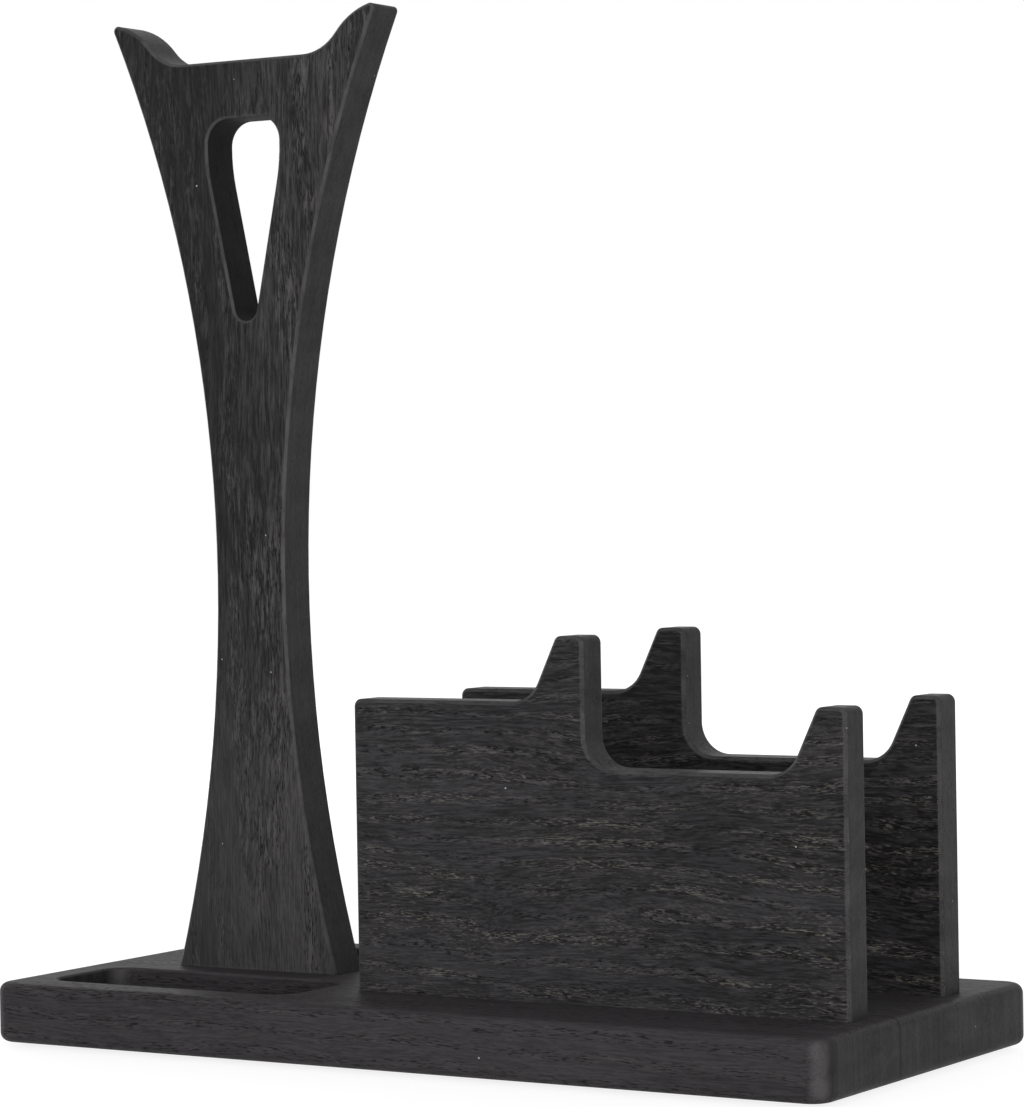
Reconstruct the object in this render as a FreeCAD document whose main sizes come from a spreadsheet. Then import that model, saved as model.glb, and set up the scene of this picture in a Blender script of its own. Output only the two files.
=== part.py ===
"""Controller and headset stand: a base board, a waisted post and two stepped rails.

Millimetres, +Z up. The origin is on the surface that the stand rests on, under the middle of the
base board. X runs along the board with the post at the low end, and the front is towards -Y.
"""
import FreeCAD
import Part
import Sketcher
import math
import os
import re
from enum import IntEnum

SIZES = {
    # Base board and its two trays
    "base_length": 300.0,
    "base_width": 140.0,
    "base_thickness": 19.0,
    "base_corner_radius": 8.0,
    "base_edge_radius": 3.0,
    "tray_depth": 10.0,
    "tray_corner_radius": 9.0,
    "tray_rim_chamfer": 0.5,
    "tray_end_margin": 12.0,
    "tray_side_margin": 14.0,
    "tray_post_margin": 11.5,
    "tray_rail_margin": 14.2,
    # Headset post
    "post_inset": 60.5,
    "post_thickness": 15.0,
    "post_height": 311.2,
    "post_foot_width": 62.8,
    "post_waist_width": 27.0,
    "post_waist_height": 128.0,
    "post_top_width": 106.0,
    "post_edge_chamfer": 0.8,
    "horn_tip_radius": 1.6,
    "horn_crown_radius": 24.6,
    "saddle_depth": 15.0,
    "saddle_flat_width": 47.6,
    "saddle_corner_radius": 16.8,
    "hole_top_margin": 18.8,
    "hole_width": 28.6,
    "hole_height": 66.0,
    "hole_corner_radius": 8.0,
    "hole_shoulder_radius": 60.0,
    "hole_shoulder_drop": 9.0,
    "hole_tip_radius": 4.5,
    "hole_edge_chamfer": 0.7,
    # Controller rails
    "rail_length": 171.4,
    "rail_thickness": 12.0,
    "rail_gap": 50.0,
    "rail_end_inset": 8.4,
    "rail_corner_radius": 2.5,
    "rail_edge_chamfer": 1.0,
    "front_seat_height": 71.0,
    "seat_step_height": 20.0,
    "seat_step_length": 88.0,
    "seat_corner_radius": 10.0,
    "stop_height": 20.0,
    "stop_top_width": 9.6,
    "stop_slant_run": 9.5,
    # Screws from below
    "screw_length": 40.0,
    "screw_diameter": 4.0,
    "screw_point_length": 5.0,
    "screw_head_diameter": 8.0,
    "screw_head_recess": 0.5,
    "screw_hole_clearance": 0.25,
    "pilot_clearance": 0.05,
    "pilot_depth_margin": 2.0,
    "cross_recess_width": 1.1,
    "cross_recess_span": 4.4,
    "cross_recess_depth": 1.6,
    "post_screw_spacing": 36.0,
    "rail_screw_inset": 30.0,
    # Foot pads
    "pad_diameter": 18.0,
    "pad_thickness": 1.5,
    "pad_inset": 26.0,
}

POST_X = "(post_inset - base_length / 2)"
RAIL_END_X = "(base_length / 2 - rail_end_inset)"
RAIL_START_X = f"({RAIL_END_X} - rail_length)"
RAIL_Y = "(rail_gap / 2 + rail_thickness / 2)"
TRAY_START_X = "(tray_end_margin - base_length / 2)"
TRAY_INNER_Y = "(post_thickness / 2 + tray_post_margin)"
PAD_X = "(base_length / 2 - pad_inset)"
PAD_Y = "(base_width / 2 - pad_inset)"
BASE_TOP_Z = "(pad_thickness + base_thickness)"
SADDLE_Z = "(post_height - saddle_depth)"
HOLE_TOP_Z = f"({SADDLE_Z} - hole_top_margin)"
SCREW_PILOT_DEPTH = "(screw_length + screw_head_recess - base_thickness + pilot_depth_margin)"
POST_SCREWS = [(f"({POST_X} {side} post_screw_spacing / 2)", "0") for side in "-+"]
RAIL_SCREW_XS = [f"({RAIL_START_X} + rail_screw_inset)", f"({RAIL_END_X} - rail_screw_inset)"]
RAIL_SCREWS = [(x, f"{side}{RAIL_Y}") for side in ("-", "") for x in RAIL_SCREW_XS]
SCREW_PLACES = POST_SCREWS + RAIL_SCREWS
COUNTERSINK_ANGLE = 90

TOLERANCE = 1e-4


class Vertex(IntEnum):
    """Which vertex of a line or an arc is meant."""

    START = 1
    END = 2
    CENTRE = 3


class Axis(IntEnum):
    """The two axes of a sketch."""

    ACROSS = -1
    UPWARD = -2


START, END, CENTRE = Vertex
X_AXIS, Y_AXIS = Axis
ORIGIN = (X_AXIS, START)

doc = FreeCAD.newDocument("controller_headset_stand")


def fill_sheet():
    """Write every driving size to the sheet, with its name as the cell's alias."""
    sheet = doc.addObject("Spreadsheet::Sheet", "Sizes")
    for row, (name, value) in enumerate(SIZES.items(), start=1):
        sheet.set(f"A{row}", name)
        sheet.set(f"B{row}", str(value))
        sheet.setAlias(f"B{row}", name)
    doc.recompute()


def cells(formula):
    """Put the sheet's name before each size that a formula names."""
    return re.sub(r"[a-z][a-z_]+", r"Sizes.\g<0>", formula)


def bind(thing, **formulas):
    """Bind properties of a document object to formulas of the sheet's sizes."""
    for name, formula in formulas.items():
        thing.setExpression(name, cells(formula))


def place(thing, x="0", y="0", z="0"):
    """Bind the three coordinates of an object's placement."""
    for axis, formula in zip("xyz", (x, y, z)):
        thing.setExpression(f"Placement.Base.{axis}", cells(formula))


def new_body(label):
    """Add an empty body that is labelled with its node's name."""
    body = doc.addObject("PartDesign::Body", label)
    body.Label = label
    return body


def new_sketch(body, name, role, height="0"):
    """Add a sketch on one of the body's origin planes, raised by a formula along its normal."""
    sketch = body.newObject("Sketcher::SketchObject", f"{body.Name}_{name}")
    plane = next(item for item in body.Origin.OriginFeatures if item.Role == role)
    sketch.AttachmentSupport = [(plane, "")]
    sketch.MapMode = "FlatFace"
    sketch.setExpression("AttachmentOffset.Base.z", cells(height))
    return sketch


def point_of(sketch, vertex):
    """Give the present place of a sketch vertex, named by its geometry and its position there."""
    return sketch.getPoint(*vertex)


def relate(sketch, kind, *references):
    """Add a constraint that holds no number."""
    sketch.addConstraint(Sketcher.Constraint(kind, *references))


def across(sketch, first, second, formula):
    """Bind the horizontal distance from one vertex to another."""
    present = point_of(sketch, second).x - point_of(sketch, first).x
    index = sketch.addConstraint(Sketcher.Constraint("DistanceX", *first, *second, present))
    sketch.setExpression(f"Constraints[{index}]", cells(formula))


def upward(sketch, first, second, formula):
    """Bind the vertical distance from one vertex to another."""
    present = point_of(sketch, second).y - point_of(sketch, first).y
    index = sketch.addConstraint(Sketcher.Constraint("DistanceY", *first, *second, present))
    sketch.setExpression(f"Constraints[{index}]", cells(formula))


def radius(sketch, curve, formula):
    """Bind the radius of an arc or a circle."""
    present = sketch.Geometry[curve].Radius
    index = sketch.addConstraint(Sketcher.Constraint("Radius", curve, present))
    sketch.setExpression(f"Constraints[{index}]", cells(formula))


def vector(x, y):
    """Give a point of a sketch."""
    return FreeCAD.Vector(x, y, 0)


def add_arc(sketch, centre, first, last):
    """Add an arc that runs counter-clockwise about a centre, from one point to another."""
    start, end = first - centre, last - centre
    circle = Part.Circle(centre, FreeCAD.Vector(0, 0, 1), start.Length)
    angles = math.atan2(start.y, start.x), math.atan2(end.y, end.x)
    return sketch.addGeometry(Part.ArcOfCircle(circle, *angles))


def add_polygon(sketch, points):
    """Add a closed run of lines, with level and upright ones held so; the indices are returned."""
    corners = [vector(*point) for point in points]
    lines = []
    for begin, finish in zip(corners, corners[1:] + corners[:1]):
        line = sketch.addGeometry(Part.LineSegment(begin, finish))
        if abs(begin.y - finish.y) < TOLERANCE:
            relate(sketch, "Horizontal", line)
        elif abs(begin.x - finish.x) < TOLERANCE:
            relate(sketch, "Vertical", line)
        lines.append(line)
    for line, following in zip(lines, lines[1:] + lines[:1]):
        relate(sketch, "Coincident", line, END, following, START)
    return lines


def add_rectangle(sketch, corner, size):
    """Add a rectangle whose low corner and two sides are bound to formulas."""
    bottom, right, _, _ = add_polygon(sketch, [(1, 1), (2, 1), (2, 2), (1, 2)])
    across(sketch, ORIGIN, (bottom, START), corner[0])
    upward(sketch, ORIGIN, (bottom, START), corner[1])
    across(sketch, (bottom, START), (bottom, END), size[0])
    upward(sketch, (right, START), (right, END), size[1])


def add_circle(sketch, diameter, x, y):
    """Add a circle whose diameter and centre are bound to formulas."""
    circle = sketch.addGeometry(Part.Circle(vector(1, 1), FreeCAD.Vector(0, 0, 1), 1))
    radius(sketch, circle, f"({diameter}) / 2")
    across(sketch, ORIGIN, (circle, CENTRE), x)
    upward(sketch, ORIGIN, (circle, CENTRE), y)


def pad(body, sketch, length, side="One side"):
    """Raise a sketch into a solid, along its normal or to both sides of its plane."""
    feature = body.newObject("PartDesign::Pad", f"{sketch.Name}_pad")
    feature.Profile = sketch
    feature.SideType = side
    bind(feature, Length=length)
    doc.recompute()


def check_cut(feature, body, before):
    """Stop if a cut has taken nothing from its body."""
    doc.recompute()
    if body.Shape.Volume > before - TOLERANCE:
        raise RuntimeError(f"{feature.Name} cuts nothing")


def pocket(body, sketch, length, along_normal=False):
    """Cut a sketch out of the body, against its normal or along it."""
    before = body.Shape.Volume
    feature = body.newObject("PartDesign::Pocket", f"{sketch.Name}_pocket")
    feature.Profile = sketch
    feature.Reversed = along_normal
    bind(feature, Length=length)
    check_cut(feature, body, before)


def pocket_through(body, sketch):
    """Cut a sketch right through the body, to both sides of its plane."""
    before = body.Shape.Volume
    feature = body.newObject("PartDesign::Pocket", f"{sketch.Name}_pocket")
    feature.Profile = sketch
    feature.SideType = "Symmetric"
    feature.Type = "ThroughAll"
    check_cut(feature, body, before)


def dress(body, kind, name, chosen, **size):
    """Add a fillet or a chamfer to the edges of the body's last feature that a test accepts."""
    base = body.Tip
    names = [f"Edge{number}" for number, edge in enumerate(base.Shape.Edges, start=1) if chosen(edge)]
    if not names:
        raise RuntimeError(f"{body.Name} has no edge for {name}")
    feature = body.newObject(f"PartDesign::{kind}", f"{body.Name}_{name}")
    feature.Base = (base, names)
    bind(feature, **size)
    doc.recompute()


def fillet(body, name, formula, chosen):
    """Round the edges that a test accepts."""
    dress(body, "Fillet", name, chosen, Radius=formula)


def chamfer(body, name, formula, chosen):
    """Ease the edges that a test accepts, with a flat at 45 degrees."""
    dress(body, "Chamfer", name, chosen, Size=formula)


def span(edge, axis):
    """Give the lowest and highest value that an edge reaches along X, Y or Z."""
    box = edge.BoundBox
    return ((box.XMin, box.XMax), (box.YMin, box.YMax), (box.ZMin, box.ZMax))[axis]


def within(edge, axis, low, high):
    """Tell whether an edge stays between two values along X, Y or Z."""
    lowest, highest = span(edge, axis)
    return lowest > low - TOLERANCE and highest < high + TOLERANCE


def runs_along(edge, axis):
    """Tell whether an edge is a straight one along X, Y or Z."""
    others = [span(edge, other) for other in range(3) if other != axis]
    return all(highest - lowest < TOLERANCE for lowest, highest in others)


def crosses_at(edge, points):
    """Tell whether an edge crosses a board's thickness at one of its profile's points."""
    at_point = any(within(edge, 0, x, x) and within(edge, 2, z, z) for x, z in points)
    return at_point and runs_along(edge, 1)


def on_faces(edge, thickness):
    """Tell whether an edge bounds one of the two faces of a board on edge, clear of its foot."""
    on_face = any(within(edge, 1, face, face) for face in (-thickness / 2, thickness / 2))
    return on_face and not within(edge, 2, 0, 0)


def base_board():
    """Make the base board, with its two trays and the countersunk holes below."""
    body = new_body("base_board")
    place(body, z="pad_thickness")
    outline = new_sketch(body, "outline", "XY_Plane")
    add_rectangle(outline, ("-base_length / 2", "-base_width / 2"), ("base_length", "base_width"))
    pad(body, outline, "base_thickness")
    top = SIZES["base_thickness"]
    fillet(body, "corners", "base_corner_radius", lambda edge: runs_along(edge, 2))
    fillet(body, "edges", "base_edge_radius",
           lambda edge: within(edge, 2, 0, 0) or within(edge, 2, top, top))
    cut_trays(body)
    drill_screw_holes(body)
    return body


def cut_trays(body):
    """Cut the trays in front of the post and behind it, with round corners and an eased rim."""
    length = f"{RAIL_START_X} - tray_rail_margin - {TRAY_START_X}"
    width = f"base_width / 2 - tray_side_margin - {TRAY_INNER_Y}"
    trays = new_sketch(body, "trays", "XY_Plane", "base_thickness")
    add_rectangle(trays, (TRAY_START_X, "tray_side_margin - base_width / 2"), (length, width))
    add_rectangle(trays, (TRAY_START_X, TRAY_INNER_Y), (length, width))
    pocket(body, trays, "tray_depth")
    top = SIZES["base_thickness"]
    left = SIZES["tray_end_margin"] - SIZES["base_length"] / 2
    right = SIZES["base_length"] / 2
    right -= SIZES["rail_end_inset"] + SIZES["rail_length"] + SIZES["tray_rail_margin"]
    fillet(body, "tray_corners", "tray_corner_radius",
           lambda edge: runs_along(edge, 2) and within(edge, 0, left, right))
    chamfer(body, "tray_rims", "tray_rim_chamfer",
            lambda edge: within(edge, 2, top, top) and within(edge, 0, left, right))


def drill_screw_holes(body):
    """Drill the clearance holes from below, each with a seat for a countersunk head."""
    centres = new_sketch(body, "screw_holes", "XY_Plane")
    for x, y in SCREW_PLACES:
        add_circle(centres, "screw_diameter", x, y)
    doc.recompute()
    before = body.Shape.Volume
    hole = body.newObject("PartDesign::Hole", "base_board_screw_holes_drilled")
    hole.Profile = centres
    hole.Reversed = True
    hole.DepthType = "ThroughAll"
    hole.HoleCutType = "Countersink"
    hole.HoleCutCustomValues = True
    hole.HoleCutCountersinkAngle = COUNTERSINK_ANGLE
    bind(hole, Diameter="screw_diameter + 2 * screw_hole_clearance",
         HoleCutDiameter="screw_head_diameter + 2 * screw_head_recess")
    check_cut(hole, body, before)


def drill_pilots(body, places):
    """Drill the screws' pilot holes into a board's foot."""
    pilots = new_sketch(body, "pilots", "XY_Plane")
    for x, y in places:
        add_circle(pilots, "screw_diameter + 2 * pilot_clearance", x, y)
    pocket(body, pilots, SCREW_PILOT_DEPTH, along_normal=True)


def headset_post():
    """Make the post: waisted sides, a saddle between two horns and a hole below it."""
    body = new_body("headset_post")
    place(body, POST_X, "0", BASE_TOP_Z)
    outline = new_sketch(body, "outline", "XZ_Plane")
    draw_post_outline(outline)
    pad(body, outline, "post_thickness", "Symmetric")
    tip = SIZES["post_top_width"] / 2
    tips = [(side * tip, SIZES["post_height"]) for side in (-1, 1)]
    thickness = SIZES["post_thickness"]
    fillet(body, "horn_tips", "horn_tip_radius", lambda edge: crosses_at(edge, tips))
    chamfer(body, "edges", "post_edge_chamfer", lambda edge: on_faces(edge, thickness))
    hole = new_sketch(body, "hole", "XZ_Plane")
    draw_post_hole(hole)
    pocket_through(body, hole)
    top = SIZES["post_height"] - SIZES["saddle_depth"] - SIZES["hole_top_margin"]
    bottom = top - SIZES["hole_height"]
    chamfer(body, "hole_edges", "hole_edge_chamfer",
            lambda edge: on_faces(edge, thickness) and within(edge, 2, bottom, top))
    drill_pilots(body, [(f"{side}post_screw_spacing / 2", "0") for side in ("-", "")])
    return body


def crown_centre(saddle_centre, tip):
    """Find the centre of a horn's crown, which runs on from the saddle's corner and ends at the tip."""
    crown, apart = SIZES["horn_crown_radius"], tip - saddle_centre
    reach = SIZES["saddle_corner_radius"] + crown
    forward = (reach**2 - crown**2 + apart.Length**2) / (2 * apart.Length)
    aside = math.sqrt(reach**2 - forward**2)
    along = vector(apart.x, apart.y).normalize()
    return saddle_centre + along * forward + vector(along.y, -along.x) * aside


def mirror(point):
    """Give the mirror image of a sketch point across the upright axis."""
    return vector(-point.x, point.y)


def waist_arc_centre(waist, end):
    """Find the centre of the arc that leaves the waist upright and ends at a given point."""
    aside, along = end.x - waist.x, end.y - waist.y
    return waist + vector((aside**2 + along**2) / (2 * aside), 0)


def draw_post_outline(sketch):
    """Draw the post's outline, the right half first and the left half as its mirror image."""
    height = SIZES["post_height"]
    foot, tip = vector(SIZES["post_foot_width"] / 2, 0), vector(SIZES["post_top_width"] / 2, height)
    waist = vector(SIZES["post_waist_width"] / 2, SIZES["post_waist_height"])
    flat = vector(SIZES["saddle_flat_width"] / 2, height - SIZES["saddle_depth"])
    lower_centre, upper_centre = waist_arc_centre(waist, foot), waist_arc_centre(waist, tip)
    saddle_centre = flat + vector(0, SIZES["saddle_corner_radius"])
    crown = crown_centre(saddle_centre, tip)
    share = SIZES["saddle_corner_radius"] / (crown - saddle_centre).Length
    turn = saddle_centre + (crown - saddle_centre) * share

    base = sketch.addGeometry(Part.LineSegment(mirror(foot), foot))
    right_lower = add_arc(sketch, lower_centre, waist, foot)
    right_upper = add_arc(sketch, upper_centre, tip, waist)
    right_crown = add_arc(sketch, crown, tip, turn)
    right_corner = add_arc(sketch, saddle_centre, flat, turn)
    saddle = sketch.addGeometry(Part.LineSegment(flat, mirror(flat)))
    left_corner = add_arc(sketch, mirror(saddle_centre), mirror(turn), mirror(flat))
    left_crown = add_arc(sketch, mirror(crown), mirror(turn), mirror(tip))
    left_upper = add_arc(sketch, mirror(upper_centre), mirror(waist), mirror(tip))
    left_lower = add_arc(sketch, mirror(lower_centre), mirror(foot), mirror(waist))

    relate(sketch, "Coincident", base, END, right_lower, END)
    relate(sketch, "Tangent", right_lower, START, right_upper, END)
    relate(sketch, "Coincident", right_upper, START, right_crown, START)
    relate(sketch, "Tangent", right_crown, END, right_corner, END)
    relate(sketch, "Tangent", right_corner, START, saddle, START)
    relate(sketch, "Tangent", saddle, END, left_corner, END)
    relate(sketch, "Tangent", left_corner, START, left_crown, START)
    relate(sketch, "Coincident", left_crown, END, left_upper, END)
    relate(sketch, "Coincident", left_upper, START, left_lower, END)
    relate(sketch, "Coincident", left_lower, START, base, START)
    relate(sketch, "PointOnObject", base, END, X_AXIS)
    relate(sketch, "Symmetric", base, START, base, END, Y_AXIS)
    relate(sketch, "Symmetric", saddle, START, saddle, END, Y_AXIS)
    relate(sketch, "Symmetric", left_upper, START, right_upper, END, Y_AXIS)
    relate(sketch, "Symmetric", left_upper, END, right_upper, START, Y_AXIS)
    relate(sketch, "Horizontal", right_upper, END, right_upper, CENTRE)
    rights = right_lower, right_upper, right_crown, right_corner
    lefts = left_lower, left_upper, left_crown, left_corner
    for right, left in zip(rights, lefts):
        relate(sketch, "Equal", right, left)
    across(sketch, (base, START), (base, END), "post_foot_width")
    across(sketch, (left_upper, START), (right_upper, END), "post_waist_width")
    across(sketch, (left_upper, END), (right_upper, START), "post_top_width")
    upward(sketch, ORIGIN, (right_upper, END), "post_waist_height")
    upward(sketch, ORIGIN, (right_upper, START), "post_height")
    upward(sketch, (saddle, START), (right_upper, START), "saddle_depth")
    across(sketch, (saddle, END), (saddle, START), "saddle_flat_width")
    radius(sketch, right_corner, "saddle_corner_radius")
    radius(sketch, right_crown, "horn_crown_radius")


def draw_post_hole(sketch):
    """Draw the hole's outline: a triangle on its point, with round corners and bowed shoulders."""
    corner, point = SIZES["hole_corner_radius"], SIZES["hole_tip_radius"]
    shoulder, drop = SIZES["hole_shoulder_radius"], SIZES["hole_shoulder_drop"]
    top = SIZES["post_height"] - SIZES["saddle_depth"] - SIZES["hole_top_margin"]
    bow = vector(SIZES["hole_width"] / 2 - shoulder, top - drop)
    right = vector(bow.x + math.sqrt((shoulder - corner)**2 - (drop - corner)**2), top - corner)
    low = vector(0, top - SIZES["hole_height"] + point)
    rise = bow - low
    lean = math.acos((point - shoulder) / rise.Length) - math.atan2(rise.y, rise.x)
    outward = vector(math.cos(lean), -math.sin(lean))
    crest = right + vector(0, corner)
    turn = bow + (right - bow).normalize() * shoulder
    upper, lower = bow + outward * shoulder, low + outward * point

    top_line = sketch.addGeometry(Part.LineSegment(mirror(crest), crest))
    right_corner = add_arc(sketch, right, turn, crest)
    right_shoulder = add_arc(sketch, bow, upper, turn)
    right_line = sketch.addGeometry(Part.LineSegment(upper, lower))
    low_corner = add_arc(sketch, low, mirror(lower), lower)
    left_line = sketch.addGeometry(Part.LineSegment(mirror(lower), mirror(upper)))
    left_shoulder = add_arc(sketch, mirror(bow), mirror(turn), mirror(upper))
    left_corner = add_arc(sketch, mirror(right), mirror(crest), mirror(turn))

    relate(sketch, "Tangent", top_line, END, right_corner, END)
    relate(sketch, "Tangent", right_corner, START, right_shoulder, END)
    relate(sketch, "Tangent", right_shoulder, START, right_line, START)
    relate(sketch, "Tangent", right_line, END, low_corner, END)
    relate(sketch, "Tangent", low_corner, START, left_line, START)
    relate(sketch, "Tangent", left_line, END, left_shoulder, END)
    relate(sketch, "Tangent", left_shoulder, START, left_corner, END)
    relate(sketch, "Tangent", left_corner, START, top_line, START)
    relate(sketch, "Equal", right_corner, left_corner)
    relate(sketch, "Equal", right_shoulder, left_shoulder)
    relate(sketch, "Symmetric", top_line, START, top_line, END, Y_AXIS)
    relate(sketch, "Horizontal", left_shoulder, CENTRE, right_shoulder, CENTRE)
    relate(sketch, "PointOnObject", low_corner, CENTRE, Y_AXIS)
    upward(sketch, ORIGIN, (top_line, START), HOLE_TOP_Z)
    across(sketch, (right_shoulder, CENTRE), (left_shoulder, CENTRE),
           "2 * hole_shoulder_radius - hole_width")
    upward(sketch, (right_shoulder, CENTRE), (top_line, END), "hole_shoulder_drop")
    upward(sketch, (low_corner, CENTRE), (top_line, END), "hole_height - hole_tip_radius")
    radius(sketch, right_corner, "hole_corner_radius")
    radius(sketch, right_shoulder, "hole_shoulder_radius")
    radius(sketch, low_corner, "hole_tip_radius")


def stop_corners(right, seat):
    """Give the three corners of a stop that ends a seat: its top, and the foot of its slant."""
    top = seat + SIZES["stop_height"]
    inner = right - SIZES["stop_top_width"]
    return [(right, top), (inner, top), (inner - SIZES["stop_slant_run"], seat)]


def controller_rail(label, y):
    """Make one rail: a board on edge with two stepped seats, each ended by a slanted stop."""
    body = new_body(label)
    place(body, RAIL_START_X, y, BASE_TOP_Z)
    profile = new_sketch(body, "profile", "XZ_Plane")
    length, front_level = SIZES["rail_length"], SIZES["front_seat_height"]
    rear_level = front_level + SIZES["seat_step_height"]
    step = length - SIZES["seat_step_length"]
    front_top, front_inner, front_foot = stop_corners(length, front_level)
    rear_top, rear_inner, rear_foot = stop_corners(step, rear_level)
    behind, back = (step, front_level), (0, rear_level)
    corners = [(0, 0), (length, 0), front_top, front_inner, front_foot, behind,
               rear_top, rear_inner, rear_foot, back]
    lines = add_polygon(profile, corners)
    bottom, end, front_crest, front_slant, front_seat = lines[:5]
    riser, rear_crest, rear_slant, rear_seat, _ = lines[5:]
    relate(profile, "Coincident", bottom, START, *ORIGIN)
    across(profile, (bottom, START), (bottom, END), "rail_length")
    across(profile, (riser, START), (end, START), "seat_step_length")
    upward(profile, (bottom, END), (front_seat, START), "front_seat_height")
    upward(profile, (front_seat, START), (rear_seat, START), "seat_step_height")
    for crest, slant in ((front_crest, front_slant), (rear_crest, rear_slant)):
        across(profile, (crest, END), (crest, START), "stop_top_width")
        across(profile, (slant, END), (slant, START), "stop_slant_run")
        upward(profile, (slant, END), (slant, START), "stop_height")
    pad(body, profile, "rail_thickness", "Symmetric")
    inner_corners = [front_foot, behind, rear_foot]
    outer_corners = [front_top, front_inner, rear_top, rear_inner, back]
    thickness = SIZES["rail_thickness"]
    fillet(body, "seat_corners", "seat_corner_radius", lambda edge: crosses_at(edge, inner_corners))
    fillet(body, "corners", "rail_corner_radius", lambda edge: crosses_at(edge, outer_corners))
    chamfer(body, "edges", "rail_edge_chamfer", lambda edge: on_faces(edge, thickness))
    drill_pilots(body, [("rail_screw_inset", "0"), ("rail_length - rail_screw_inset", "0")])
    return body


def wood_screw():
    """Make one screw, head down: a countersunk head with a cross recess, a shank and a point."""
    body = new_body("wood_screw")
    profile = new_sketch(body, "profile", "XZ_Plane")
    head, shank = SIZES["screw_head_diameter"] / 2, SIZES["screw_diameter"] / 2
    length = SIZES["screw_length"]
    shoulder = length - SIZES["screw_point_length"]
    corners = [(0, 0), (head, 0), (shank, head - shank), (shank, shoulder), (0, length)]
    face, cone, side, point, axis = add_polygon(profile, corners)
    relate(profile, "Coincident", face, START, *ORIGIN)
    across(profile, (face, START), (face, END), "screw_head_diameter / 2")
    across(profile, ORIGIN, (side, START), "screw_diameter / 2")
    upward(profile, ORIGIN, (cone, END), "(screw_head_diameter - screw_diameter) / 2")
    upward(profile, (point, START), (point, END), "screw_point_length")
    upward(profile, (axis, END), (axis, START), "screw_length")
    turned = body.newObject("PartDesign::Revolution", "wood_screw_turned")
    turned.Profile = profile
    turned.ReferenceAxis = (profile, ["V_Axis"])
    doc.recompute()
    slots = ("cross_recess_span", "cross_recess_width"), ("cross_recess_width", "cross_recess_span")
    for name, (width, depth) in zip(("slot", "cross_slot"), slots):
        slot = new_sketch(body, name, "XY_Plane")
        add_rectangle(slot, (f"-{width} / 2", f"-{depth} / 2"), (width, depth))
        pocket(body, slot, "cross_recess_depth", along_normal=True)
    return body


def assembly_screws():
    """Set a screw in each hole of the base board; the screws are one group of separate solids."""
    screw = wood_screw()
    links = []
    for number, (x, y) in enumerate(SCREW_PLACES, start=1):
        link = doc.addObject("App::Link", f"screw_{number}")
        link.LinkedObject = screw
        place(link, x, y, "pad_thickness + screw_head_recess")
        links.append(link)
    group = doc.addObject("Part::Compound", "assembly_screws")
    group.Label = "assembly_screws"
    group.Links = links
    return group


def foot_pads():
    """Make the four felt discs under the corners of the base board."""
    pads = []
    for row, y_sign in (("front", "-"), ("rear", "")):
        for side, x_sign in (("left", "-"), ("right", "")):
            disc = doc.addObject("Part::Cylinder", f"foot_pad_{row}_{side}")
            disc.Label = disc.Name
            bind(disc, Radius="pad_diameter / 2", Height="pad_thickness")
            place(disc, f"{x_sign}{PAD_X}", f"{y_sign}{PAD_Y}")
            pads.append(disc)
    return pads


def write_parts(nodes):
    """Check every object and each sub-part's shape, then write one file for each sub-part."""
    failed = [item.Name for item in doc.Objects if {"Invalid", "Error"} & set(item.State)]
    if failed:
        raise RuntimeError(f"failed objects: {failed}")
    os.makedirs("parts", exist_ok=True)
    for node in nodes:
        if node.Shape.isNull() or not node.Shape.isValid():
            raise RuntimeError(f"{node.Label} has no sound shape")
    for node in nodes:
        node.Shape.exportStep(f"parts/{node.Label}.step")
        print(f"{node.Label}: {len(node.Shape.Solids)} solids, {node.Shape.Volume / 1000:.2f} cm3")


def main():
    """Build the stand and write its parts."""
    fill_sheet()
    nodes = [base_board(), headset_post()]
    nodes.append(controller_rail("front_controller_rail", f"-{RAIL_Y}"))
    nodes.append(controller_rail("rear_controller_rail", RAIL_Y))
    nodes.append(assembly_screws())
    nodes.extend(foot_pads())
    doc.recompute()
    write_parts(nodes)


main()
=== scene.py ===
"""Looks of the controller and headset stand: charcoal-stained oak boards, plated screws, felt pads."""
import logging
import math
from dataclasses import dataclass, replace
from enum import Enum
from typing import Any, ClassVar

import bmesh
import bpy
from mathutils import Matrix, Vector


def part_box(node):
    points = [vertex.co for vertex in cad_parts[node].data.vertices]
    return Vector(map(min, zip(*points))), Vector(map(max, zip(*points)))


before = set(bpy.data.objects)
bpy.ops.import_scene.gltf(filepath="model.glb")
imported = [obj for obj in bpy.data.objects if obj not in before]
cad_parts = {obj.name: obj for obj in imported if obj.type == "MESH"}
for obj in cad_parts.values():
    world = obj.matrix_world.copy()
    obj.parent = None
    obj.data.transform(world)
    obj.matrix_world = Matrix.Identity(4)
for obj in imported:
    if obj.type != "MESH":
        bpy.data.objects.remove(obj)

LOG = logging.getLogger("stand")
MM = 0.001
BEVEL_SAMPLES = 6
WHITE = (1.0, 1.0, 1.0, 1.0)
Colour = tuple[float, float, float]
Triple = tuple[float, float, float]
Span = tuple[float, float]
Node = bpy.types.Node
Socket = bpy.types.NodeSocket


class Grain(Enum):
    """The way a board's fibres run, as the direction of their axis."""

    ALONG_X = (1.0, 0.0, 0.0)
    ALONG_Z = (0.0, 0.0, 1.0)

    @property
    def turn(self) -> Triple:
        """The turn that lays the fibres along the X axis of the grain's own pattern."""
        return (0.0, math.radians(90.0) * self.value[2], 0.0)


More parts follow.
